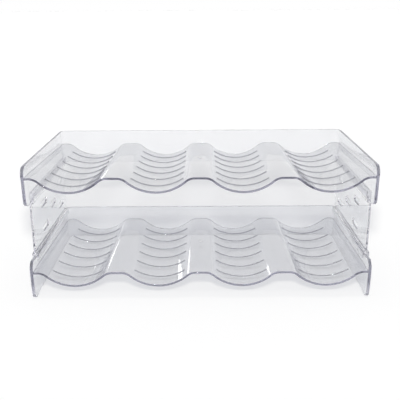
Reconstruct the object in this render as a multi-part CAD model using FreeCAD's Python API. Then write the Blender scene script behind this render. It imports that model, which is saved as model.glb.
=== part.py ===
import FreeCAD, Part

import math
import os

# Two-tier organizer for drinks bottles, moulded in clear plastic: two identical trays with a
# scalloped floor, held apart by two perforated side risers. Millimetres. X runs across the width,
# the open front faces -Y, Z is up, and the origin is under the middle of the lower tray's feet.

# Tray shell
tray_width = 356.0
tray_depth = 184.0
tray_height = 41.6
wall = 2.4
wall_draft = 0.5
rear_corner_radius = 8.0
front_top_radius = 9.0
front_foot_radius = 8.0
stile_width = 14.0
stile_extra = 0.6

# Scalloped floor: its middle surface is a row of round cradles between flat crests
cradle_count = 4
cradle_depth = 14.5
crest_flat = 13.8
crest_radius = 9.0
crest_below_rim = 11.5
floor_thickness = 2.2
floor_fall = 5.9

# Raised grip ribs across each cradle
rib_count = 6
rib_width = 1.0
rib_height = 0.9
rib_front_margin = 21.8
rib_rear_margin = 24.5
rib_crest_margin = 10.1
rib_bow_radius = 106.0

# Round stub left by the moulding gate, in the middle of the floor
gate_diameter = 4.5
gate_height = 0.4

# Side riser: a web between two channels that grip the trays' side walls
tier_gap = 60.6
riser_front_margin = 20.0
riser_rear_margin = 10.0
web_thickness = 2.2
channel_floor = 2.6
leg_thickness = 1.6
lower_leg_height = 4.0
upper_leg_height = 8.4
leg_flare = 1.2
channel_clearance = 0.3

# Hand slots in the riser's web, set like the five on a die and centred behind the web's middle
slot_length = 24.0
slot_height = 7.0
slot_column_pitch = 39.0
slot_row_offset = 13.8
slot_setback = 12.0

# Places worked out from the sizes above
half_width = tray_width / 2
half_depth = tray_depth / 2
upper_tray_base = tray_height + tier_gap
cradle_pitch = (tray_width - 2 * wall) / cradle_count
cradle_half_span = (cradle_pitch - crest_flat) / 2
swing_radius = (cradle_half_span**2 + cradle_depth**2) / (2 * cradle_depth)
cradle_radius = swing_radius - crest_radius
swing_angle = math.asin(cradle_half_span / swing_radius)
crest_level = tray_height - crest_below_rim
cradle_level = crest_level - cradle_depth
rib_half_length = cradle_half_span - rib_crest_margin
rib_pitch = (tray_depth - rib_front_margin - rib_rear_margin) / (rib_count - 1)
floor_slope = math.degrees(math.atan2(floor_fall, tray_depth))
sheet_overrun = 2 * floor_thickness
sheet_front = -half_depth - sheet_overrun
sheet_length = tray_depth + 2 * sheet_overrun


def point(x, y, z):
    """A point in the organizer's own frame."""
    return FreeCAD.Vector(x, y, z)


def arc_edge(start, middle, end):
    """A round edge through three points."""
    return Part.Arc(start, middle, end).toShape()


def line_edge(start, end):
    """A straight edge between two points."""
    return Part.makeLine(start, end)


def tray_plan(half_x, front_y, rear_y, radius, z):
    """A rectangle in plan with square front corners and round rear corners."""
    bow = radius * (1 - math.sqrt(0.5))
    front_left = point(-half_x, front_y, z)
    front_right = point(half_x, front_y, z)
    left_start = point(-half_x, rear_y - radius, z)
    left_middle = point(-half_x + bow, rear_y - bow, z)
    left_end = point(-half_x + radius, rear_y, z)
    right_start = point(half_x - radius, rear_y, z)
    right_middle = point(half_x - bow, rear_y - bow, z)
    right_end = point(half_x, rear_y - radius, z)
    edges = [
        line_edge(front_left, left_start),
        arc_edge(left_start, left_middle, left_end),
        line_edge(left_end, right_start),
        arc_edge(right_start, right_middle, right_end),
        line_edge(right_end, front_right),
        line_edge(front_right, front_left),
    ]
    return Part.Wire(edges)


def drafted_block(inset, front_y):
    """The tray's block, drawn in by an inset, its sides and rear leaning in towards the feet."""
    radius = rear_corner_radius - inset
    plans = []
    for z, lean in ((0.0, wall_draft), (tray_height, 0.0)):
        side = half_width - inset - lean
        rear = half_depth - inset - lean
        plans.append(tray_plan(side, front_y, rear, radius, z))
    return Part.makeLoft(plans, True, True)


def side_outline():
    """A block across the whole tray whose front corners are rounded as seen from the side."""
    top_bow = front_top_radius * (1 - math.sqrt(0.5))
    foot_bow = front_foot_radius * (1 - math.sqrt(0.5))
    x = -half_width
    front = -half_depth
    rear = half_depth
    foot_start = point(x, front + front_foot_radius, 0.0)
    foot_middle = point(x, front + foot_bow, foot_bow)
    foot_end = point(x, front, front_foot_radius)
    top_start = point(x, front, tray_height - front_top_radius)
    top_middle = point(x, front + top_bow, tray_height - top_bow)
    top_end = point(x, front + front_top_radius, tray_height)
    edges = [
        line_edge(point(x, rear, 0.0), foot_start),
        arc_edge(foot_start, foot_middle, foot_end),
        line_edge(foot_end, top_start),
        arc_edge(top_start, top_middle, top_end),
        line_edge(top_end, point(x, rear, tray_height)),
        line_edge(point(x, rear, tray_height), point(x, rear, 0.0)),
    ]
    return Part.Face(Part.Wire(edges)).extrude(point(tray_width, 0.0, 0.0))


def tray_walls(outer):
    """Two side walls and a back wall, with a thicker stile up each front end."""
    inner = drafted_block(wall, -half_depth - wall)
    walls = outer.cut(inner)
    stile_reach = wall + stile_extra
    stiles = outer.cut(drafted_block(stile_reach, -half_depth - wall))
    stile_zone = Part.makeBox(tray_width, stile_width, tray_height, point(-half_width, -half_depth, 0.0))
    return walls.fuse(stiles.common(stile_zone)).common(side_outline())


def cradle_centre(index):
    """Where the middle of a cradle lies across the width."""
    return (index - (cradle_count - 1) / 2) * cradle_pitch


def on_cradle(centre, radius, angle):
    """A point at an angle from straight down, about the middle of a cradle's curve."""
    x = centre + radius * math.sin(angle)
    z = cradle_level + cradle_radius - radius * math.cos(angle)
    return point(x, sheet_front, z)


def on_crest(centre, radius, angle):
    """A point at an angle from straight up, about the middle of the round beside a crest."""
    x = centre + radius * math.sin(angle)
    z = crest_level - crest_radius + radius * math.cos(angle)
    return point(x, sheet_front, z)


def floor_line(offset):
    """Edges across the width that follow the scallops, raised from the middle surface."""
    edges = []
    reach = half_width - wall / 2
    level = crest_level + offset
    last = point(-reach, sheet_front, level)
    bowl = cradle_radius - offset
    shoulder = crest_radius + offset
    for index in range(cradle_count):
        centre = cradle_centre(index)
        for side in (-1, 1):
            crest_x = centre + side * cradle_half_span
            top = on_crest(crest_x, shoulder, 0.0)
            bend = on_crest(crest_x, shoulder, -side * swing_angle / 2)
            meet = on_crest(crest_x, shoulder, -side * swing_angle)
            if side < 0:
                edges.append(line_edge(last, top))
                edges.append(arc_edge(top, bend, meet))
                far = on_cradle(centre, bowl, swing_angle)
                edges.append(arc_edge(meet, on_cradle(centre, bowl, 0.0), far))
            else:
                edges.append(arc_edge(meet, bend, top))
                last = top
    edges.append(line_edge(last, point(reach, sheet_front, level)))
    return edges


def scalloped_sheet():
    """The floor sheet lying level, a little longer than the tray at both ends."""
    top = floor_line(floor_thickness / 2)
    bottom = floor_line(-floor_thickness / 2)
    reach = half_width - wall / 2
    top_level = crest_level + floor_thickness / 2
    bottom_level = crest_level - floor_thickness / 2
    ends = []
    for x in (-reach, reach):
        upper_end = point(x, sheet_front, top_level)
        lower_end = point(x, sheet_front, bottom_level)
        ends.append(line_edge(upper_end, lower_end))
    section = Part.Wire(Part.__sortEdges__(top + bottom + ends))
    return Part.Face(section).extrude(point(0.0, sheet_length, 0.0))


def rib_blank():
    """The skin over a cradle's curve that the ribs are cut from, rooted in the floor."""
    crown = cradle_radius - floor_thickness / 2 - rib_height
    reach = math.asin(rib_half_length / crown)
    left_root = on_cradle(0.0, cradle_radius, -reach)
    right_root = on_cradle(0.0, cradle_radius, reach)
    left_crown = on_cradle(0.0, crown, -reach)
    right_crown = on_cradle(0.0, crown, reach)
    edges = [
        arc_edge(left_root, on_cradle(0.0, cradle_radius, 0.0), right_root),
        line_edge(right_root, right_crown),
        arc_edge(right_crown, on_cradle(0.0, crown, 0.0), left_crown),
        line_edge(left_crown, left_root),
    ]
    return Part.Face(Part.Wire(edges)).extrude(point(0.0, sheet_length, 0.0))


def cradle_ribs():
    """The row of ribs in the cradle at the middle of the width, bowed in plan."""
    blank = rib_blank()
    outer_radius = rib_bow_radius + rib_width / 2
    inner_radius = rib_bow_radius - rib_width / 2
    ribs = []
    for row in range(rib_count):
        middle_y = -half_depth + rib_front_margin + row * rib_pitch
        axis = point(0.0, middle_y - rib_bow_radius, 0.0)
        disc = Part.makeCylinder(outer_radius, tray_height, axis)
        hole = Part.makeCylinder(inner_radius, tray_height, axis)
        ribs.append(disc.cut(hole).common(blank))
    return ribs


def gate_stub():
    """The round stub on the crest in the middle of the level floor."""
    rise = floor_thickness / 2 + gate_height
    return Part.makeCylinder(gate_diameter / 2, rise, point(0.0, 0.0, crest_level))


def ribbed_floor(outer):
    """The floor with its ribs and gate stub, falling from the open front to the back wall."""
    raised = [gate_stub()]
    ribs = cradle_ribs()
    for index in range(cradle_count):
        for rib in ribs:
            moved = rib.copy()
            moved.translate(point(cradle_centre(index), 0.0, 0.0))
            raised.append(moved)
    floor = scalloped_sheet().multiFuse(raised)
    floor.rotate(point(0.0, -half_depth, crest_level), point(1.0, 0.0, 0.0), -floor_slope)
    return floor.common(outer)


def make_tray(base):
    """One tray with its feet at the given height."""
    outer = drafted_block(0.0, -half_depth)
    tray = tray_walls(outer).fuse(ribbed_floor(outer)).removeSplitter()
    tray.translate(point(0.0, 0.0, base))
    return tray


def riser_profile():
    """Outline of the right-hand riser seen from the front: web, channels and flared legs."""
    low_x = half_width - wall / 2
    high_x = low_x - wall_draft
    low_z = tray_height
    high_z = upper_tray_base
    half_gap = wall / 2 + channel_clearance
    half_fork = half_gap + leg_thickness
    web_x = (low_x + high_x) / 2
    half_web = web_thickness / 2
    corners = [
        (low_x + half_gap, low_z - lower_leg_height),
        (low_x + half_fork, low_z - lower_leg_height),
        (low_x + half_fork, low_z + channel_floor),
        (web_x + half_web, low_z + channel_floor),
        (web_x + half_web, high_z - channel_floor),
        (high_x + half_fork, high_z - channel_floor),
        (high_x + half_fork, high_z + upper_leg_height),
        (high_x + half_gap, high_z + upper_leg_height),
        (high_x + half_gap, high_z),
        (high_x - half_gap, high_z),
        (high_x - half_gap - leg_flare, high_z + upper_leg_height),
        (high_x - half_fork - leg_flare, high_z + upper_leg_height),
        (high_x - half_fork, high_z - channel_floor),
        (web_x - half_web, high_z - channel_floor),
        (web_x - half_web, low_z + channel_floor),
        (low_x - half_fork, low_z + channel_floor),
        (low_x - half_fork - leg_flare, low_z - lower_leg_height),
        (low_x - half_gap - leg_flare, low_z - lower_leg_height),
        (low_x - half_gap, low_z),
        (low_x + half_gap, low_z),
    ]
    front = -half_depth + riser_front_margin
    points = [point(x, front, z) for x, z in corners]
    return Part.makePolygon(points + points[:1])


def hand_slot(middle_y, middle_z):
    """A round-ended slot through the right-hand web."""
    end = slot_height / 2
    half_run = slot_length / 2 - end
    x = half_width - wall - leg_thickness - leg_flare
    front_low = point(x, middle_y - half_run, middle_z - end)
    front_tip = point(x, middle_y - half_run - end, middle_z)
    front_high = point(x, middle_y - half_run, middle_z + end)
    rear_low = point(x, middle_y + half_run, middle_z - end)
    rear_tip = point(x, middle_y + half_run + end, middle_z)
    rear_high = point(x, middle_y + half_run, middle_z + end)
    edges = [
        arc_edge(front_low, front_tip, front_high),
        line_edge(front_high, rear_high),
        arc_edge(rear_high, rear_tip, rear_low),
        line_edge(rear_low, front_low),
    ]
    through = 2 * (wall + leg_thickness + leg_flare)
    return Part.Face(Part.Wire(edges)).extrude(point(through, 0.0, 0.0))


def make_right_riser():
    """The right-hand riser, standing on the lower tray's side wall."""
    length = tray_depth - riser_front_margin - riser_rear_margin
    plate = Part.Face(riser_profile()).extrude(point(0.0, length, 0.0))
    middle_y = -half_depth + riser_front_margin + length / 2 + slot_setback
    middle_z = tray_height + tier_gap / 2
    slots = [hand_slot(middle_y, middle_z)]
    for along in (-1, 1):
        for up in (-1, 1):
            slot_y = middle_y + along * slot_column_pitch
            slot_z = middle_z + up * slot_row_offset
            slots.append(hand_slot(slot_y, slot_z))
    return plate.cut(slots)


def save(shape, name):
    """Write a piece to its file and say how large and sound it is."""
    box = shape.optimalBoundingBox(True, False)
    shape.exportStep(f"parts/{name}.step")
    size = f"{box.XLength:.2f} x {box.YLength:.2f} x {box.ZLength:.2f}"
    print(f"{name}: {size} mm, {len(shape.Solids)} solid, valid {shape.isValid()}")


def main():
    """Build the four pieces where they sit in the assembled organizer."""
    os.makedirs("parts", exist_ok=True)
    right_riser = make_right_riser()
    left_riser = right_riser.mirror(point(0.0, 0.0, 0.0), point(1.0, 0.0, 0.0))
    save(make_tray(0.0), "lower_tray")
    save(make_tray(upper_tray_base), "upper_tray")
    save(left_riser, "left_riser")
    save(right_riser, "right_riser")


main()
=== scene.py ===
import bpy
import logging
import math
from dataclasses import dataclass, replace
from enum import Enum
from typing import Callable

from mathutils import Matrix, Vector


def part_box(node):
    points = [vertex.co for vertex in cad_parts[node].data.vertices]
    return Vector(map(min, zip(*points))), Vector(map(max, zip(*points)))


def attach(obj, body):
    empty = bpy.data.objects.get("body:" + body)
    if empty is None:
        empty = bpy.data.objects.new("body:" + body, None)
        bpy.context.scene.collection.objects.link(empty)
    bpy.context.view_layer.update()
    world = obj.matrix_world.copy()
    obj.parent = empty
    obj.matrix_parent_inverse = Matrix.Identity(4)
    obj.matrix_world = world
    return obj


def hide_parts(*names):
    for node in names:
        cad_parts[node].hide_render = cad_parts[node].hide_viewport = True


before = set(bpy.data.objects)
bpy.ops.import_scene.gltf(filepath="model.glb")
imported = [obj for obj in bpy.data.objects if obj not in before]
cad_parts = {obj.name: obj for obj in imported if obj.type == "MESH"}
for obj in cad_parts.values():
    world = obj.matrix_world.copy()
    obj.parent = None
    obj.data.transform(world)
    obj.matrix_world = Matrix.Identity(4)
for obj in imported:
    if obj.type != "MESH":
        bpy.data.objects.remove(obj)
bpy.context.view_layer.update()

LOG = logging.getLogger("bottle_organizer")
MM = 0.001
# Places closer together than this, in millimetres, count as one.
SAME = 0.01
# A normal with more than this share along an axis points along that axis.
ALONG = 0.9
# Faces that meet at more than this angle have an edge between them.
SHARP = math.radians(30.0)
# Bevel profile of a circular rounding.
ROUND = 0.5
# Solid angle of all directions together.
WHOLE_SPHERE = 4.0 * math.pi
# Power of an area lamp for each square metre of face that looks as bright as white.
AREA_LAMP_POWER = 4.0

Point = tuple[float, float, float]
Colour = tuple[float, float, float]
Piece = bpy.types.Object
Tree = bpy.types.NodeTree
Socket = bpy.types.NodeSocket
Feed = Socket | float | tuple[float, float, float, float]


def solid(colour: Colour) -> tuple[float, float, float, float]:
    """A colour as a socket takes it, fully opaque."""
    return (*colour, 1.0)


def grey(level: float) -> tuple[float, float, float, float]:
    """A neutral grey as a socket takes it."""
    return solid((level, level, level))


def install(name: str, data: bpy.types.ID) -> Piece:
    """Put a camera or a lamp into the scene.

    Args:
        name: Name of the new object.
        data: The camera or the lamp.

    Returns:
        The new object.
    """
    piece = bpy.data.objects.new(name, data)
    bpy.context.scene.collection.objects.link(piece)
    return piece


class Node(Enum):
    """The four mouldings of the organizer."""

    LOWER_TRAY = "lower_tray"
    UPPER_TRAY = "upper_tray"
    LEFT_RISER = "left_riser"
    RIGHT_RISER = "right_riser"


class Side(Enum):
    """Which side of the organizer a riser stands on."""

    LEFT = -1
    RIGHT = 1


class TrayFinish(Enum):
    """Which of a tray's finishes a face has, in the order of its materials; on the rib flanks it is
    painted shade.
    """

    SHEET = 0
    GATE = 1
    # The rib flanks' material is painted shade: a darker haze.
    RIB = 2


class Bench:
    """Edit-mode helpers for shaping one piece at a time."""

    @staticmethod
    def clear() -> None:
        """Deselect every object."""
        bpy.ops.object.select_all(action="DESELECT")

    @staticmethod
    def hold(piece: Piece) -> None:
        """Make a piece the only selected and active object.

        Args:
            piece: The piece to work on.
        """
        Bench.clear()
        piece.select_set(True)
        bpy.context.view_layer.objects.active = piece

    @staticmethod
    def pick_edges(piece: Piece, keep: Callable[[Vector, Vector], bool]) -> None:
        """Go into edit mode with only some edges selected.

        Args:
            piece: The piece being shaped.
            keep: Says of an edge's two ends, in millimetres, whether it is wanted.
        """
        Bench.hold(piece)
        bpy.ops.object.mode_set(mode="EDIT")
        bpy.ops.mesh.select_mode(type="EDGE")
        bpy.ops.mesh.select_all(action="DESELECT")
        bpy.ops.object.mode_set(mode="OBJECT")
        points = piece.data.vertices
        for edge in piece.data.edges:
            start, end = (points[index].co / MM for index in edge.vertices)
            edge.select = keep(start, end)
        bpy.ops.object.mode_set(mode="EDIT")

    @staticmethod
    def pick_faces(piece: Piece, keep: Callable[[Vector, Vector], bool]) -> None:
        """Go into edit mode with only some faces selected.

        Args:
            piece: The piece being shaped.
            keep: Says of a face's middle, in millimetres, and its normal whether it is wanted.
        """
        Bench.hold(piece)
        bpy.ops.object.mode_set(mode="EDIT")
        bpy.ops.mesh.select_mode(type="FACE")
        bpy.ops.mesh.select_all(action="DESELECT")
        bpy.ops.object.mode_set(mode="OBJECT")
        for face in piece.data.polygons:
            face.select = keep(face.center / MM, face.normal)
        bpy.ops.object.mode_set(mode="EDIT")

    @staticmethod
    def done() -> None:
        """Leave edit mode."""
        bpy.ops.object.mode_set(mode="OBJECT")

    @staticmethod
    def round_edges(radius: float, segments: int) -> None:
        """Round the selected edges and leave edit mode.

        Args:
            radius: Radius of the rounding in millimetres.
            segments: Faces across the rounding.
        """
        bpy.ops.mesh.bevel(offset=radius * MM, segments=segments, profile=ROUND, affect="EDGES")
        Bench.done()

    @staticmethod
    def face_outwards() -> None:
        """Turn every face of the piece in hand outwards and leave edit mode."""
        bpy.ops.mesh.select_all(action="SELECT")
        bpy.ops.mesh.normals_make_consistent(inside=False)
        Bench.done()

    @staticmethod
    def block(name: str, low: Point, high: Point) -> Piece:
        """Add a block between two corners, with its place in its mesh.

        Args:
            name: Name of the new object.
            low: Lowest corner in millimetres.
            high: Highest corner in millimetres.

        Returns:
            The block.
        """
        Bench.clear()
        middle = [(first + last) / 2 * MM for first, last in zip(low, high)]
        bpy.ops.mesh.primitive_cube_add(size=1.0, location=middle)
        piece = bpy.context.object
        piece.name = name
        piece.scale = [(last - first) * MM for first, last in zip(low, high)]
        bpy.ops.object.transform_apply()
        return piece

    @staticmethod
    def combine(piece: Piece, tool: Piece, operation: str) -> None:
        """Join, cut or trim a piece with another and use the other up.

        Args:
            piece: The piece that stays.
            tool: The piece that is used up.
            operation: UNION, DIFFERENCE or INTERSECT.
        """
        Bench.hold(piece)
        join = piece.modifiers.new("combine", "BOOLEAN")
        join.operation = operation
        join.solver = "EXACT"
        join.object = tool
        bpy.ops.object.modifier_apply(modifier=join.name)
        bpy.data.objects.remove(tool)

    @staticmethod
    def copy(piece: Piece, shift: Point) -> Piece:
        """Copy a piece with its own mesh, moved by a distance in millimetres.

        Args:
            piece: The piece to copy.
            shift: How far to move the copy.

        Returns:
            The copy.
        """
        twin = piece.copy()
        twin.data = piece.data.copy()
        bpy.context.scene.collection.objects.link(twin)
        twin.data.transform(Matrix.Translation(Vector(shift) * MM))
        return twin

    @staticmethod
    def soften(piece: Piece, radius: float, segments: int) -> None:
        """Round every edge and inner corner of a finished piece and shade it smooth.

        Args:
            piece: The finished piece.
            radius: Radius of the rounding in millimetres.
            segments: Faces across each rounding.
        """
        Bench.hold(piece)
        bpy.ops.object.shade_smooth()
        bevel = piece.modifiers.new("soften", "BEVEL")
        bevel.width = radius * MM
        bevel.segments = segments
        bevel.limit_method = "ANGLE"
        bevel.angle_limit = SHARP
        bevel.use_clamp_overlap = False
        bevel.harden_normals = True
        bpy.ops.object.modifier_apply(modifier=bevel.name)


@dataclass
class Tray:
    """One tray: scalloped floor with grip ribs, two side walls, a back wall and an open front.

    Sizes are in millimetres. The overall width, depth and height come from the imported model, and
    names with segments, steps or sides are counts of faces.
    """

    width: float
    depth: float
    height: float
    wall: float = 2.4
    draft: float = 0.5
    rear_radius: float = 8.0
    rear_segments: int = 10
    top_radius: float = 9.0
    foot_radius: float = 8.0
    front_segments: int = 12
    stile_width: float = 14.0
    stile_extra: float = 0.8
    cradles: int = 4
    cradle_depth: float = 14.5
    crest_flat: float = 10.0
    crest_radius: float = 14.0
    crest_below_rim: float = 11.5
    floor_thickness: float = 2.2
    floor_fall: float = 5.9
    ribs: int = 6
    rib_width: float = 0.8
    rib_height: float = 0.9
    rib_front_margin: float = 21.8
    rib_rear_margin: float = 24.5
    rib_crest_margin: float = 12.0
    rib_bow_radius: float = 106.0
    gate_diameter: float = 4.5
    gate_height: float = 0.4
    gate_rim: float = 0.9
    gate_dip: float = 0.2
    gate_sides: int = 32
    edge_radius: float = 0.25
    edge_segments: int = 3
    arc_steps: int = 32

    def __post_init__(self) -> None:
        """Work out the places that follow from the sizes."""
        self.side = self.width / 2
        self.rear = self.depth / 2
        self.front = -self.depth / 2
        self.pitch = (self.width - 2 * self.wall) / self.cradles
        self.half_span = (self.pitch - self.crest_flat) / 2
        swing = (self.half_span**2 + self.cradle_depth**2) / (2 * self.cradle_depth)
        self.cradle_radius = swing - self.crest_radius
        self.swing_angle = math.asin(self.half_span / swing)
        self.crest_level = self.height - self.crest_below_rim
        self.cradle_level = self.crest_level - self.cradle_depth
        # Height of the line that a cradle is turned about, and radius of its upper skin.
        self.bowl = self.cradle_level + self.cradle_radius
        self.skin = self.cradle_radius - self.floor_thickness / 2
        # How deep the ribs and the gate stub are rooted in the floor.
        self.root = self.floor_thickness / 4

    def cradle_x(self, index: int) -> float:
        """Middle of a cradle across the width."""
        return (index - (self.cradles - 1) / 2) * self.pitch

    def block(self, inset: float, front_inset: float) -> Piece:
        """The tray's block drawn in by an inset, with round rear corners and leaning sides.

        Args:
            inset: How far the sides and the rear are drawn in.
            front_inset: How far the front is drawn in; below nought it stands proud.

        Returns:
            The closed block.
        """
        side = self.side - inset
        rear = self.rear - inset
        low = (-side, self.front + front_inset, 0.0)
        piece = Bench.block("tray_block", low, (side, rear, self.height))

        def is_rear_corner(start: Vector, end: Vector) -> bool:
            """Whether an edge stands upright at the rear."""
            return start.y > 0.0 and end.y > 0.0 and abs(start.x - end.x) < self.wall

        Bench.pick_edges(piece, is_rear_corner)
        Bench.round_edges(self.rear_radius - inset, self.rear_segments)
        for point in piece.data.vertices:
            if point.co.z < self.height / 2 * MM:
                point.co.x -= math.copysign(self.draft * MM, point.co.x)
                if point.co.y > 0.0:
                    point.co.y -= self.draft * MM
        return piece

    def walls(self) -> Piece:
        """Model the side walls and the back wall, with a thicker stile at each front end.

        Returns:
            The walls, with round front corners.
        """
        shell = self.block(0.0, 0.0)
        Bench.combine(shell, self.block(self.wall, -self.wall), "DIFFERENCE")

        def is_inner_front(middle: Vector, normal: Vector) -> bool:
            """Whether a face lies inside a side wall, ahead of the stile's rear edge."""
            looks_inwards = abs(normal.x) > ALONG and middle.x * normal.x < 0.0
            return looks_inwards and middle.y < self.front + self.stile_width

        Bench.hold(shell)
        bpy.ops.object.mode_set(mode="EDIT")
        bpy.ops.mesh.select_all(action="SELECT")
        line = (0.0, (self.front + self.stile_width) * MM, 0.0)
        bpy.ops.mesh.bisect(plane_co=line, plane_no=(0.0, 1.0, 0.0))
        Bench.done()
        Bench.pick_faces(shell, is_inner_front)
        swell = {"value": self.stile_extra * MM}
        bpy.ops.mesh.extrude_region_shrink_fatten(TRANSFORM_OT_shrink_fatten=swell)
        Bench.done()
        self.round_front(shell, self.height, self.top_radius)
        self.round_front(shell, 0.0, self.foot_radius)
        return shell

    def round_front(self, shell: Piece, level: float, radius: float) -> None:
        """Round one front corner of both side walls, as seen from the side.

        Args:
            shell: The walls.
            level: Height of the corner.
            radius: Radius of the corner.
        """

        def is_corner(start: Vector, end: Vector) -> bool:
            """Whether an edge runs across a wall at the front, at the level asked for."""
            at_front = abs(start.y - self.front) < SAME and abs(end.y - self.front) < SAME
            return at_front and abs(start.z - level) < SAME and abs(end.z - level) < SAME

        Bench.pick_edges(shell, is_corner)
        Bench.round_edges(radius, self.front_segments)

    def sheet(self) -> Piece:
        """Model the scalloped floor sheet.

        Returns:
            The sheet, lying level and a little longer than the tray.
        """
        overrun = 2 * self.floor_thickness
        reach = self.side - self.wall / 2
        start = self.cradle_x(0) - self.half_span
        place = ((start - reach) / 2 * MM, 0.0, self.crest_level * MM)
        Bench.clear()
        bpy.ops.mesh.primitive_plane_add(size=1.0, location=place)
        piece = bpy.context.object
        piece.name = "tray_floor"
        piece.scale = ((start + reach) * MM, (self.depth + 2 * overrun) * MM, 1.0)
        bpy.ops.object.transform_apply()
        Bench.pick_edges(piece, lambda first, last: min(first.x, last.x) > start - SAME)
        steps = self.arc_steps // 2
        shoulder = self.crest_level - self.crest_radius
        for index in range(self.cradles):
            middle = self.cradle_x(index)
            turns = (
                (middle - self.half_span, shoulder, -self.swing_angle, steps),
                (middle, self.bowl, 2 * self.swing_angle, self.arc_steps),
                (middle + self.half_span, shoulder, -self.swing_angle, steps),
            )
            for centre, level, angle, count in turns:
                bpy.ops.mesh.spin(
                    steps=count, angle=angle, center=(centre * MM, 0.0, level * MM), axis=(0.0, 1.0, 0.0)
                )
            flat = self.crest_flat
            if index == self.cradles - 1:
                flat = reach - (middle + self.half_span)
            bpy.ops.mesh.extrude_region_move(TRANSFORM_OT_translate={"value": (flat * MM, 0.0, 0.0)})
        Bench.done()
        Bench.hold(piece)
        thicken = piece.modifiers.new("thickness", "SOLIDIFY")
        thicken.thickness = self.floor_thickness * MM
        thicken.offset = 0.0
        thicken.use_even_offset = True
        bpy.ops.object.modifier_apply(modifier=thicken.name)
        bpy.ops.object.mode_set(mode="EDIT")
        Bench.face_outwards()
        return piece

    def rib(self, row: int) -> Piece:
        """One grip rib in a cradle at the middle of the width, bowed in plan.

        Args:
            row: Row of the rib, counted from the front.

        Returns:
            The closed rib, rooted a little way into the floor.
        """
        spacing = (self.depth - self.rib_front_margin - self.rib_rear_margin) / (self.ribs - 1)
        place = self.front + self.rib_front_margin + row * spacing
        half_angle = math.asin((self.half_span - self.rib_crest_margin) / self.skin)
        tall = self.rib_height + self.root
        centre = (0.0, 0.0, self.bowl * MM)
        Bench.clear()
        bpy.ops.mesh.primitive_plane_add(size=1.0, rotation=(0.0, math.pi / 2, 0.0))
        piece = bpy.context.object
        piece.name = "tray_rib"
        piece.scale = (tall * MM, self.rib_width * MM, 1.0)
        bpy.ops.object.transform_apply()
        middle = self.bowl - self.skin - self.root + tall / 2
        piece.data.transform(Matrix.Translation(Vector((0.0, place, middle)) * MM))
        to_start = Matrix.Translation(centre) @ Matrix.Rotation(half_angle, 4, "Y")
        piece.data.transform(to_start @ Matrix.Translation((0.0, 0.0, -self.bowl * MM)))
        Bench.pick_faces(piece, lambda middle, normal: True)
        bpy.ops.mesh.spin(steps=self.arc_steps, angle=2 * half_angle, center=centre, axis=(0.0, 1.0, 0.0))
        Bench.face_outwards()
        for point in piece.data.vertices:
            bow = self.rib_bow_radius - math.sqrt(self.rib_bow_radius**2 - (point.co.x / MM) ** 2)
            point.co.y -= bow * MM
        return piece

    def gate(self) -> Piece:
        """Model the round stub that the moulding gate leaves in the middle of the floor.

        Returns:
            The closed stub, rooted in the floor.
        """
        rise = self.root + self.gate_height
        level = self.crest_level + self.root + rise / 2
        radius = self.gate_diameter / 2
        Bench.clear()
        bpy.ops.mesh.primitive_cylinder_add(
            vertices=self.gate_sides, radius=radius * MM, depth=rise * MM, location=(0.0, 0.0, level * MM)
        )
        piece = bpy.context.object
        piece.name = "gate_stub"
        bpy.ops.object.transform_apply()
        Bench.pick_faces(piece, lambda middle, normal: normal.z > ALONG)
        bpy.ops.mesh.inset(thickness=self.gate_rim * MM, depth=-self.gate_dip * MM)
        Bench.done()
        return piece

    def tilt(self) -> Matrix:
        """Work out how the level floor is turned about its front edge.

        Returns:
            The turn, after which the floor falls towards the rear.
        """
        slope = math.atan2(self.floor_fall, self.depth)
        hinge = Vector((0.0, self.front, self.crest_level)) * MM
        return Matrix.Translation(hinge) @ Matrix.Rotation(-slope, 4, "X") @ Matrix.Translation(-hinge)

    def mark_gate(self, tray: Piece) -> None:
        """Give the gate stub its own finish, because the plastic was torn off there.

        Args:
            tray: The finished tray.
        """
        radius = self.gate_diameter / 2 * MM
        for face in tray.data.polygons:
            is_small = face.area < math.pi * radius**2
            if is_small and face.center.xy.length < radius and face.normal.z > 0.0:
                face.material_index = TrayFinish.GATE.value

    def paint_rib_shade(self, tray: Piece) -> None:
        """Give the upright flanks of the ribs their own darker finish, painted shade for the light that
        they bend away.

        Args:
            tray: The finished tray.
        """
        level = self.tilt().inverted()
        half_length = self.half_span - self.rib_crest_margin + self.rib_width
        half_reach = self.rear - self.rib_front_margin / 2
        above_skin = 0.05
        least_upright = 0.6
        for face in tray.data.polygons:
            middle = level @ face.center / MM
            cradle = min(range(self.cradles), key=lambda index: abs(middle.x - self.cradle_x(index)))
            across = middle.x - self.cradle_x(cradle)
            rise = self.skin - math.hypot(across, self.bowl - middle.z)
            is_near = abs(middle.y) < half_reach and abs(across) < half_length
            is_raised = above_skin < rise < above_skin + self.rib_height
            if is_near and is_raised and abs(face.normal.y) > least_upright:
                # Painted shade: the rib flanks get the darker rib material.
                face.material_index = TrayFinish.RIB.value

    def make(self, name: str) -> Piece:
        """Model the whole tray as one moulding, with its feet at height nought.

        Args:
            name: Name of the piece.

        Returns:
            The tray.
        """
        floor = self.sheet()
        ribs = [self.rib(row) for row in range(self.ribs)]
        for index in range(self.cradles):
            for rib in ribs:
                Bench.combine(floor, Bench.copy(rib, (self.cradle_x(index), 0.0, 0.0)), "UNION")
        for rib in ribs:
            bpy.data.objects.remove(rib)
        Bench.combine(floor, self.gate(), "UNION")
        floor.data.transform(self.tilt())
        Bench.combine(floor, self.block(self.wall / 2, 0.0), "INTERSECT")
        tray = self.walls()
        Bench.combine(tray, floor, "UNION")
        Bench.soften(tray, self.edge_radius, self.edge_segments)
        self.mark_gate(tray)
        self.paint_rib_shade(tray)
        tray.name = name
        tray.data.name = name
        return tray


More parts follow.
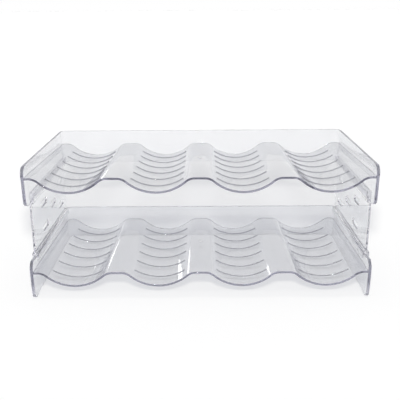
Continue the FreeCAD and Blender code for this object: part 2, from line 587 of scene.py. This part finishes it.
@dataclass
class Riser:
    """A side riser: a web with five round-ended slots between two channels that grip the walls.

    Sizes are in millimetres. The tray gives the walls that the channels grip. The slots' ends are a
    touch less than half round, so that the two roundings of an end don't meet.
    """

    tray: Tray
    side: Side
    gap: float
    front_margin: float = 20.0
    rear_margin: float = 10.0
    web: float = 2.2
    channel_floor: float = 2.6
    leg: float = 1.6
    lower_leg_height: float = 4.0
    upper_leg_height: float = 8.4
    flare: float = 1.2
    clearance: float = 0.3
    slot_length: float = 24.0
    slot_height: float = 7.0
    slot_roundness: float = 0.999
    slot_segments: int = 12
    column_pitch: float = 39.0
    row_offset: float = 13.8
    slot_setback: float = 12.0
    edge_radius: float = 0.3
    edge_segments: int = 3

    @property
    def front(self) -> float:
        """Where the riser's front end lies."""
        return self.tray.front + self.front_margin

    def outline(self) -> list[tuple[float, float]]:
        """Work out the corners of the riser's section.

        Returns:
            The corners in order, as distances from the organizer's middle plane and heights.
        """
        low_x = self.tray.side - self.tray.wall / 2
        high_x = low_x - self.tray.draft
        web_x = (low_x + high_x) / 2
        low_z = self.tray.height
        high_z = low_z + self.gap
        inner = self.tray.wall / 2 + self.clearance
        outer = inner + self.leg
        web = self.web / 2
        return [
            (low_x + inner, low_z - self.lower_leg_height),
            (low_x + outer, low_z - self.lower_leg_height),
            (low_x + outer, low_z + self.channel_floor),
            (web_x + web, low_z + self.channel_floor),
            (web_x + web, high_z - self.channel_floor),
            (high_x + outer, high_z - self.channel_floor),
            (high_x + outer, high_z + self.upper_leg_height),
            (high_x + inner, high_z + self.upper_leg_height),
            (high_x + inner, high_z),
            (high_x - inner, high_z),
            (high_x - inner - self.flare, high_z + self.upper_leg_height),
            (high_x - outer - self.flare, high_z + self.upper_leg_height),
            (high_x - outer, high_z - self.channel_floor),
            (web_x - web, high_z - self.channel_floor),
            (web_x - web, low_z + self.channel_floor),
            (low_x - outer, low_z + self.channel_floor),
            (low_x - outer - self.flare, low_z - self.lower_leg_height),
            (low_x - inner - self.flare, low_z - self.lower_leg_height),
            (low_x - inner, low_z),
            (low_x + inner, low_z),
        ]

    def slot(self, middle_y: float, middle_z: float) -> Piece:
        """A round-ended block that cuts one slot.

        Args:
            middle_y: Middle of the slot along the depth.
            middle_z: Middle of the slot's height.

        Returns:
            The cutter.
        """
        centre = self.side.value * (self.tray.side - self.tray.wall / 2)
        reach = 4 * self.web
        low = (centre - reach, middle_y - self.slot_length / 2, middle_z - self.slot_height / 2)
        high = (centre + reach, middle_y + self.slot_length / 2, middle_z + self.slot_height / 2)
        piece = Bench.block("slot_cutter", low, high)
        Bench.pick_edges(piece, lambda first, last: abs(first.x - last.x) > self.web)
        Bench.round_edges(self.slot_height / 2 * self.slot_roundness, self.slot_segments)
        return piece

    def make(self, name: str) -> Piece:
        """Model the riser where it stands.

        Args:
            name: Name of the piece.

        Returns:
            The riser.
        """
        length = self.tray.depth - self.front_margin - self.rear_margin
        corners = [(self.side.value * x, z) for x, z in self.outline()]
        Bench.clear()
        bpy.ops.mesh.primitive_plane_add(size=MM, location=(0.0, 0.0, 0.0))
        piece = bpy.context.object
        piece.name = name
        bpy.ops.object.mode_set(mode="EDIT")
        bpy.ops.mesh.select_mode(type="VERT")
        bpy.ops.mesh.select_all(action="SELECT")
        start_x, start_z = corners[0]
        bpy.ops.mesh.merge(type="CENTER")
        bpy.ops.transform.translate(value=Vector((start_x, self.front, start_z)) * MM)
        for (x, z), (next_x, next_z) in zip(corners, corners[1:]):
            step = ((next_x - x) * MM, 0.0, (next_z - z) * MM)
            bpy.ops.mesh.extrude_region_move(TRANSFORM_OT_translate={"value": step})
        bpy.ops.mesh.select_all(action="SELECT")
        bpy.ops.mesh.edge_face_add()
        bpy.ops.mesh.extrude_region_move(TRANSFORM_OT_translate={"value": (0.0, length * MM, 0.0)})
        Bench.face_outwards()
        middle_y = self.front + length / 2 + self.slot_setback
        middle_z = self.tray.height + self.gap / 2
        places = [(0, 0), (-1, -1), (-1, 1), (1, -1), (1, 1)]
        for along, up in places:
            cutter = self.slot(middle_y + along * self.column_pitch, middle_z + up * self.row_offset)
            Bench.combine(piece, cutter, "DIFFERENCE")
        Bench.soften(piece, self.edge_radius, self.edge_segments)
        piece.data.name = name
        return piece


class Wiring:
    """Helpers that add shader nodes and link them."""

    @staticmethod
    def feed(tree: Tree, socket: Socket, value: Feed) -> None:
        """Link an output to a socket, or set the socket to a plain value.

        Args:
            tree: The node tree.
            socket: The socket to feed.
            value: Another node's output, a number or a colour.
        """
        if isinstance(value, Socket):
            tree.links.new(value, socket)
        else:
            socket.default_value = value

    @staticmethod
    def calculate(tree: Tree, operation: str, first: Feed, second: Feed) -> Socket:
        """Work out one number from two.

        Args:
            tree: The node tree.
            operation: Name of the sum, as a Math node has it.
            first: First number, or the output that gives it.
            second: Second number, or the output that gives it.

        Returns:
            The output that gives the result.
        """
        node = tree.nodes.new("ShaderNodeMath")
        node.operation = operation
        for socket, value in zip(node.inputs, (first, second)):
            Wiring.feed(tree, socket, value)
        return node.outputs["Value"]

    @staticmethod
    def mix_colours(tree: Tree, share: Socket, first: Feed, second: Feed) -> Socket:
        """Mix two colours.

        Args:
            tree: The node tree.
            share: Output that gives the share of the second colour.
            first: First colour, or the output that gives it.
            second: Second colour, or the output that gives it.

        Returns:
            The output that gives the mixed colour.
        """
        node = tree.nodes.new("ShaderNodeMix")
        node.data_type = "RGBA"
        tree.links.new(share, node.inputs["Factor"])
        colours = [socket for socket in node.inputs if socket.type == "RGBA"]
        for socket, value in zip(colours, (first, second)):
            Wiring.feed(tree, socket, value)
        return next(socket for socket in node.outputs if socket.type == "RGBA")

    @staticmethod
    def mix_shaders(tree: Tree, share: Socket, first: Socket, second: Socket) -> Socket:
        """Mix two shaders.

        Args:
            tree: The node tree.
            share: Output that gives the share of the second shader.
            first: Output of the first shader.
            second: Output of the second shader.

        Returns:
            The output of the mixed shader.
        """
        node = tree.nodes.new("ShaderNodeMixShader")
        for socket, value in zip(node.inputs, (share, first, second)):
            tree.links.new(value, socket)
        return node.outputs["Shader"]


class MouldMarks:
    """Shader node groups for what moulding and handling leave on a clear sheet, and a mask for painted
    shade at its front ends.
    """

    def __init__(self) -> None:
        """Build the three groups."""
        self.flow = self.make_flow()
        self.smudges = self.make_smudges()
        self.front_shade_mask = self.make_front_shade_mask()

    def start(self, name: str, inputs: dict[str, float], output: str) -> Tree:
        """Begin a node group with its named sockets.

        Args:
            name: Name of the group.
            inputs: Name and first value of each number that the group takes.
            output: Name of the number that it gives.

        Returns:
            The node group, with its two end nodes in place.
        """
        group = bpy.data.node_groups.new(name, "ShaderNodeTree")
        for label, value in inputs.items():
            socket = group.interface.new_socket(label, in_out="INPUT", socket_type="NodeSocketFloat")
            socket.default_value = value
        group.interface.new_socket(output, in_out="OUTPUT", socket_type="NodeSocketFloat")
        group.nodes.new("NodeGroupInput")
        group.nodes.new("NodeGroupOutput")
        return group

    def noise(self, group: Tree, pace: Socket, stretch: Point, detail: float) -> Socket:
        """Add a noise pattern that follows the piece.

        Args:
            group: The node group.
            pace: Output that gives the pattern's repeats per metre.
            stretch: How much finer the pattern is along each direction.
            detail: How many finer octaves it has.

        Returns:
            The output that gives the pattern.
        """
        coords = group.nodes.new("ShaderNodeTexCoord")
        place = group.nodes.new("ShaderNodeMapping")
        place.inputs["Scale"].default_value = stretch
        pattern = group.nodes.new("ShaderNodeTexNoise")
        pattern.inputs["Detail"].default_value = detail
        group.links.new(coords.outputs["Object"], place.inputs["Vector"])
        group.links.new(place.outputs["Vector"], pattern.inputs["Vector"])
        group.links.new(pace, pattern.inputs["Scale"])
        return pattern.outputs["Fac"]

    def make_flow(self) -> Tree:
        """Build the slow waves that the melt leaves as it spreads from the gate.

        Returns:
            The node group, which gives the height of the waves.
        """
        sizes = {"Waves per Metre": 30.0, "Ripple": 0.25}
        group = self.start("mould_flow", sizes, "Height")
        given = group.nodes["Group Input"].outputs
        pace = given["Waves per Metre"]
        slow = self.noise(group, pace, stretch=(1.0, 0.6, 1.0), detail=1.0)
        fine = self.noise(group, pace, stretch=(6.0, 1.5, 6.0), detail=0.0)
        ripple = Wiring.calculate(group, "MULTIPLY", fine, given["Ripple"])
        height = Wiring.calculate(group, "ADD", slow, ripple)
        group.links.new(height, group.nodes["Group Output"].inputs["Height"])
        return group

    def make_smudges(self) -> Tree:
        """Build the faintly duller patches where hands have held the polished plastic.

        Returns:
            The node group, which gives the roughness.
        """
        sizes = {"Polished": 0.01, "Handled": 0.06, "Patches per Metre": 18.0}
        group = self.start("handling_smudges", sizes, "Roughness")
        given = group.nodes["Group Input"].outputs
        pace = given["Patches per Metre"]
        pattern = self.noise(group, pace, stretch=(1.0, 1.0, 1.0), detail=3.0)
        spread = group.nodes.new("ShaderNodeMapRange")
        spread.inputs["From Min"].default_value = 0.45
        spread.inputs["From Max"].default_value = 0.75
        group.links.new(pattern, spread.inputs["Value"])
        group.links.new(given["Polished"], spread.inputs["To Min"])
        group.links.new(given["Handled"], spread.inputs["To Max"])
        group.links.new(spread.outputs["Result"], group.nodes["Group Output"].inputs["Roughness"])
        return group

    def make_front_shade_mask(self) -> Tree:
        """Build the mask of the front ends, where painted shade stands in for the light that has run
        through the sheets and comes out there.

        Returns:
            The node group, which gives 1 at the front ends and 0 behind them.
        """
        group = self.start("front_shade_mask", {"Front": 0.0, "Reach": 0.001}, "Mask")
        given = group.nodes["Group Input"].outputs
        coords = group.nodes.new("ShaderNodeTexCoord")
        split = group.nodes.new("ShaderNodeSeparateXYZ")
        group.links.new(coords.outputs["Object"], split.inputs["Vector"])
        inner = Wiring.calculate(group, "ADD", given["Front"], given["Reach"])
        fade = group.nodes.new("ShaderNodeMapRange")
        group.links.new(split.outputs["Y"], fade.inputs["Value"])
        group.links.new(given["Front"], fade.inputs["From Min"])
        group.links.new(inner, fade.inputs["From Max"])
        fade.inputs["To Min"].default_value = 1.0
        fade.inputs["To Max"].default_value = 0.0
        group.links.new(fade.outputs["Result"], group.nodes["Group Output"].inputs["Mask"])
        return group


@dataclass(frozen=True)
class ClearPlastic:
    """Clear moulded plastic with a faint cool cast that deepens where light runs along the sheet.

    Attributes:
        name: Material name.
        haze: Colour that a surface gives the light that passes it.
        edge: The same at the front ends, painted deeper and cooler there as painted shade for light that
            has run along the sheet.
        cast: Colour that the plastic turns light that runs far inside it.
        depth: How quickly it does so, per metre.
        shadow: Share of each colour that a surface lets through when it shades something.
        caught: Share of each colour that is left of light caught inside the sheet.
        clarity: Share of the light that passes without being scattered.
        ior: Refractive index.
        polished: Roughness where the mould was polished and nobody has touched it.
        handled: Roughness where hands have dulled it.
        wave: Height of the moulding waves, in millimetres.
        patience: Bounces after which light caught inside the sheet is let out.
    """

    name: str
    haze: Colour
    edge: Colour
    cast: Colour
    depth: float
    shadow: Colour
    caught: Colour
    clarity: float = 0.97
    ior: float = 1.5
    polished: float = 0.01
    handled: float = 0.05
    wave: float = 0.02
    patience: float = 4.5

    def make(self, marks: MouldMarks, front: float) -> bpy.types.Material:
        """Build the material.

        Args:
            marks: The moulding and handling marks.
            front: Where the piece's front ends lie, in millimetres.

        Returns:
            The finished node material.
        """
        material = bpy.data.materials.new(self.name)
        material.use_nodes = True
        self.dress(material.node_tree, marks, front)
        self.fill(material.node_tree)
        self.open_up(material.node_tree)
        return material

    def place(self, tree: Tree, group: Tree, values: dict[str, float]) -> bpy.types.Node:
        """Place a node group in the material.

        Args:
            tree: The material's nodes.
            group: The node group.
            values: Name and value of each number that differs from the group's own.

        Returns:
            The group's node.
        """
        node = tree.nodes.new("ShaderNodeGroup")
        node.node_tree = group
        for label, value in values.items():
            node.inputs[label].default_value = value
        return node

    def dress(self, tree: Tree, marks: MouldMarks, front: float) -> None:
        """Give the surface its colour, with painted shade at the front ends, its gloss and its moulding
        waves.

        Args:
            tree: The material's nodes.
            marks: The moulding and handling marks.
            front: Where the piece's front ends lie, in millimetres.
        """
        plastic = tree.nodes["Principled BSDF"]
        plastic.inputs["IOR"].default_value = self.ior
        plastic.inputs["Transmission Weight"].default_value = self.clarity
        # Painted shade: the front ends get the deeper, cooler edge colour, for light that has run along
        # the sheet.
        ends = self.place(tree, marks.front_shade_mask, {"Front": front * MM})
        colour = Wiring.mix_colours(tree, ends.outputs["Mask"], solid(self.haze), solid(self.edge))
        tree.links.new(colour, plastic.inputs["Base Color"])
        dull = self.place(tree, marks.smudges, {"Polished": self.polished, "Handled": self.handled})
        tree.links.new(dull.outputs["Roughness"], plastic.inputs["Roughness"])
        waves = self.place(tree, marks.flow, {})
        relief = tree.nodes.new("ShaderNodeBump")
        relief.inputs["Distance"].default_value = self.wave * MM
        tree.links.new(waves.outputs["Height"], relief.inputs["Height"])
        tree.links.new(relief.outputs["Normal"], plastic.inputs["Normal"])

    def fill(self, tree: Tree) -> None:
        """Fill the sheet with plastic that tints the light inside it.

        Args:
            tree: The material's nodes.
        """
        body = tree.nodes.new("ShaderNodeVolumeAbsorption")
        body.inputs["Color"].default_value = solid(self.cast)
        body.inputs["Density"].default_value = self.depth
        tree.links.new(body.outputs["Volume"], tree.nodes["Material Output"].inputs["Volume"])

    def window(self, tree: Tree, colour: Colour) -> Socket:
        """Add a surface that light passes straight through.

        Args:
            tree: The material's nodes.
            colour: Share of each colour that passes.

        Returns:
            The output of its shader.
        """
        clear = tree.nodes.new("ShaderNodeBsdfTransparent")
        clear.inputs["Color"].default_value = solid(colour)
        return clear.outputs["BSDF"]

    def open_up(self, tree: Tree) -> None:
        """Let out light that is caught in the sheet, and let the lamps shine through it.

        Args:
            tree: The material's nodes.
        """
        plastic = tree.nodes["Principled BSDF"].outputs["BSDF"]
        path = tree.nodes.new("ShaderNodeLightPath").outputs
        caught = Wiring.calculate(tree, "GREATER_THAN", path["Ray Depth"], self.patience)
        sheet = Wiring.mix_shaders(tree, caught, plastic, self.window(tree, self.caught))
        lit = Wiring.calculate(tree, "MAXIMUM", path["Is Shadow Ray"], path["Is Diffuse Ray"])
        surface = Wiring.mix_shaders(tree, lit, sheet, self.window(tree, self.shadow))
        tree.links.new(surface, tree.nodes["Material Output"].inputs["Surface"])


TRAY_PLASTIC = ClearPlastic(
    name="clear_tray_plastic",
    haze=(0.895, 0.9, 0.914),
    # edge: painted shade at the front ends, darker and bluer than the haze.
    edge=(0.88, 0.87, 0.96),
    cast=(0.5, 0.5, 0.58),
    depth=16.0,
    shadow=(0.85, 0.855, 0.87),
    caught=(0.57, 0.57, 0.63),
)
GATE_PLASTIC = replace(
    TRAY_PLASTIC,
    name="torn_gate_plastic",
    haze=(0.97, 0.97, 0.98),
    edge=(0.97, 0.97, 0.98),
    shadow=(0.86, 0.865, 0.88),
    caught=(0.9, 0.9, 0.92),
    clarity=0.15,
    polished=0.4,
    handled=0.6,
)
# Rib flanks: a darker haze, painted shade for the light that they bend away.
RIB_FLANK_SHADE = replace(
    TRAY_PLASTIC,
    name="rib_flank_painted_shade",
    haze=(0.74, 0.74, 0.77),
    edge=(0.74, 0.74, 0.77),
)
RISER_PLASTIC = replace(
    TRAY_PLASTIC,
    name="clear_riser_plastic",
    haze=(0.98, 0.985, 0.99),
    # edge: painted shade at the front ends, darker than the haze.
    edge=(0.95, 0.95, 0.97),
    depth=6.0,
    shadow=(0.93, 0.935, 0.94),
    caught=(0.94, 0.94, 0.95),
)


@dataclass
class PhotoCamera:
    """The camera at the photograph's viewpoint, solved from the tray's outlines.

    Attributes:
        place: Position in millimetres.
        yaw: Turn to the right of straight ahead, in radians.
        pitch: Turn below the horizon, in radians.
        roll: Turn about the line of sight, in radians.
        lens: Focal length in millimetres.
        sensor: Sensor width in millimetres.
        sight: How far it sees, in metres.
    """

    place: Point = (2.3807, -665.1912, 296.3704)
    yaw: float = -0.00413
    pitch: float = 0.31457
    roll: float = -0.0069
    lens: float = 54.204
    sensor: float = 36.0
    sight: float = 100.0

    def make(self) -> None:
        """Add the camera to the scene."""
        data = bpy.data.cameras.new("photo_camera")
        data.lens = self.lens
        data.sensor_width = self.sensor
        data.clip_end = self.sight
        camera = install("photo_camera", data)
        turn = Matrix.Rotation(-self.yaw, 4, "Z")
        tip = Matrix.Rotation(math.pi / 2 - self.pitch, 4, "X")
        spin = Matrix.Rotation(self.roll, 4, "Z")
        camera.matrix_world = Matrix.Translation(Vector(self.place) * MM) @ turn @ tip @ spin
        bpy.context.scene.camera = camera


@dataclass(frozen=True)
class SkyLamp:
    """A distant lamp high over the organizer.

    Attributes:
        name: Lamp name.
        elevation: Height above the horizon, in degrees.
        azimuth: Turn from straight in front of the organizer, in degrees.
        power: Strength square on to the light.
        softness: Apparent size of the lamp, in degrees.
    """

    name: str
    elevation: float
    azimuth: float
    power: float
    softness: float

    def make(self) -> None:
        """Add the lamp."""
        data = bpy.data.lights.new(self.name, "SUN")
        data.energy = self.power
        data.angle = math.radians(self.softness)
        light = install(self.name, data)
        tip = math.pi / 2 - math.radians(self.elevation)
        light.rotation_euler = (tip, 0.0, math.radians(self.azimuth))


@dataclass(frozen=True)
class StandLamp:
    """A round soft lamp on a stand that lights the whole floor evenly.

    Its light grows with the distance, once to make up for the spread and once for the slant of the
    floor, so it is as strong far away as near by.

    Attributes:
        name: Lamp name.
        place: Position in millimetres.
        power: Strength on the floor.
        radius: Size of the lamp in millimetres.
    """

    name: str
    place: Point
    power: float
    radius: float

    def make(self) -> None:
        """Add the lamp."""
        data = bpy.data.lights.new(self.name, "POINT")
        data.energy = 1.0
        data.shadow_soft_size = self.radius * MM
        data.use_nodes = True
        tree = data.node_tree
        height = self.place[-1] * MM
        spread = tree.nodes.new("ShaderNodeLightFalloff")
        spread.inputs["Strength"].default_value = WHOLE_SPHERE * self.power / height
        slant = tree.nodes.new("ShaderNodeLightFalloff")
        slant.inputs["Strength"].default_value = 1.0
        even = Wiring.calculate(tree, "MULTIPLY", spread.outputs["Constant"], slant.outputs["Linear"])
        tree.links.new(even, tree.nodes["Emission"].inputs["Strength"])
        light = install(self.name, data)
        light.location = Vector(self.place) * MM


@dataclass(frozen=True)
class SoftBox:
    """A tall soft box behind the organizer, seen only as pale reflections on the glossy sheets.

    Attributes:
        name: Lamp name.
        place: Middle of the box, in millimetres.
        width: Width in millimetres.
        height: Height in millimetres.
        brightness: How bright its face looks, where 1 is white.
    """

    name: str
    place: Point
    width: float
    height: float
    brightness: float

    def make(self) -> None:
        """Add the lamp, facing the organizer."""
        data = bpy.data.lights.new(self.name, "AREA")
        data.shape = "RECTANGLE"
        data.size = self.width * MM
        data.size_y = self.height * MM
        data.energy = AREA_LAMP_POWER * self.brightness * data.size * data.size_y
        light = install(self.name, data)
        light.location = Vector(self.place) * MM
        light.rotation_euler = light.location.to_track_quat("Z", "Y").to_euler()
        light.visible_camera = False
        light.visible_transmission = False


@dataclass
class Studio:
    """The plain pale floor, the surroundings and the soft lamps.

    Attributes:
        floor_size: Width of the square floor, in metres.
        floor_white: How much light the floor's paper gives back.
        shown_share: Share of plain white in the floor as it is seen, apart from the lamps' light.
        sky_edge: Brightness of the surroundings at the horizon.
        sky_low: Their brightness a little above it.
        sky_low_height: Height of that place, where straight up is 1.
        sky_high: Their brightness straight up.
        sky_light: Brightness with which they light the object and the floor.
        lamps: The lamps.
    """

    floor_size: float = 60.0
    floor_white: float = 0.98
    shown_share: float = 0.15
    sky_edge: float = 1.0
    sky_low: float = 0.8
    sky_low_height: float = 0.2
    sky_high: float = 0.7
    sky_light: float = 0.24
    lamps: tuple[SkyLamp | StandLamp | SoftBox, ...] = (
        StandLamp("front_lamp", place=(2.4, -665.0, 430.0), power=2.0, radius=30.0),
        SkyLamp("overhead_lamp", elevation=82.0, azimuth=0.0, power=0.5, softness=4.0),
        SoftBox("rear_soft_box", place=(-547.0, 1290.0, 140.0), width=200.0, height=260.0, brightness=2.5),
    )

    def is_seen(self, tree: Tree) -> Socket:
        """Tell rays that show the background from rays that only light the object.

        Args:
            tree: Nodes of the material or world.

        Returns:
            An output that is 1 for camera, glossy and transmission rays and 0 for the others.
        """
        path = tree.nodes.new("ShaderNodeLightPath").outputs
        direct = Wiring.calculate(tree, "MAXIMUM", path["Is Camera Ray"], path["Is Transmission Ray"])
        return Wiring.calculate(tree, "MAXIMUM", direct, path["Is Glossy Ray"])

    def make_floor(self) -> None:
        """Add the floor."""
        bpy.ops.mesh.primitive_plane_add(size=self.floor_size, location=(0.0, 0.0, 0.0))
        floor = bpy.context.object
        floor.name = "studio_floor"
        material = bpy.data.materials.new("studio_floor")
        material.use_nodes = True
        tree = material.node_tree
        tree.nodes.remove(tree.nodes["Principled BSDF"])
        paper = tree.nodes.new("ShaderNodeBsdfDiffuse")
        paper.inputs["Color"].default_value = grey(self.floor_white)
        white = tree.nodes.new("ShaderNodeEmission")
        share = Wiring.calculate(tree, "MULTIPLY", self.is_seen(tree), self.shown_share)
        surface = Wiring.mix_shaders(tree, share, paper.outputs["BSDF"], white.outputs["Emission"])
        tree.links.new(surface, tree.nodes["Material Output"].inputs["Surface"])
        floor.data.materials.append(material)

    def make_world(self) -> None:
        """Surround the scene with a pale backdrop and a dimmer room."""
        world = bpy.data.worlds.new("studio_world")
        bpy.context.scene.world = world
        world.use_nodes = True
        tree = world.node_tree
        coords = tree.nodes.new("ShaderNodeTexCoord")
        split = tree.nodes.new("ShaderNodeSeparateXYZ")
        tree.links.new(coords.outputs["Generated"], split.inputs["Vector"])
        sky = tree.nodes.new("ShaderNodeValToRGB")
        horizon, top = sky.color_ramp.elements
        horizon.color = grey(self.sky_edge)
        top.color = grey(self.sky_high)
        low = sky.color_ramp.elements.new(self.sky_low_height)
        low.color = grey(self.sky_low)
        tree.links.new(split.outputs["Z"], sky.inputs["Fac"])
        light = Wiring.mix_colours(tree, self.is_seen(tree), grey(self.sky_light), sky.outputs["Color"])
        tree.links.new(light, tree.nodes["Background"].inputs["Color"])

    def make(self) -> None:
        """Set up the whole studio."""
        self.make_floor()
        self.make_world()
        for lamp in self.lamps:
            lamp.make()


def main() -> None:
    """Build the organizer and its studio."""
    logging.basicConfig(level=logging.INFO, format="%(message)s")
    bpy.context.scene.view_settings.view_transform = "Standard"
    PhotoCamera().make()
    Studio().make()
    low, high = (Vector(corner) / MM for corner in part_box(Node.LOWER_TRAY.value))
    upper_low, _ = (Vector(corner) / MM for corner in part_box(Node.UPPER_TRAY.value))
    gap = upper_low.z - high.z
    tray = Tray(high.x - low.x, high.y - low.y, high.z - low.z)
    left_side = Riser(tray, Side.LEFT, gap)
    right_side = Riser(tray, Side.RIGHT, gap)
    lower = tray.make("lower_tray_moulding")
    upper = Bench.copy(lower, (0.0, 0.0, upper_low.z))
    upper.name = "upper_tray_moulding"
    left = left_side.make("left_riser_moulding")
    right = right_side.make("right_riser_moulding")
    marks = MouldMarks()
    # The sheet, the torn gate and the rib flanks' painted shade, in the order of TrayFinish.
    tray_plastics = [
        TRAY_PLASTIC.make(marks, tray.front),
        GATE_PLASTIC.make(marks, tray.front),
        RIB_FLANK_SHADE.make(marks, tray.front),
    ]
    riser_plastics = [RISER_PLASTIC.make(marks, left_side.front)]
    dressing = (
        (lower, Node.LOWER_TRAY, tray_plastics),
        (upper, Node.UPPER_TRAY, tray_plastics),
        (left, Node.LEFT_RISER, riser_plastics),
        (right, Node.RIGHT_RISER, riser_plastics),
    )
    for piece, node, plastics in dressing:
        for plastic in plastics:
            piece.data.materials.append(plastic)
        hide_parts(node.value)
        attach(piece, node.value)
        LOG.info("%s: %d faces", piece.name, len(piece.data.polygons))


if __name__ == "__main__":
    main()
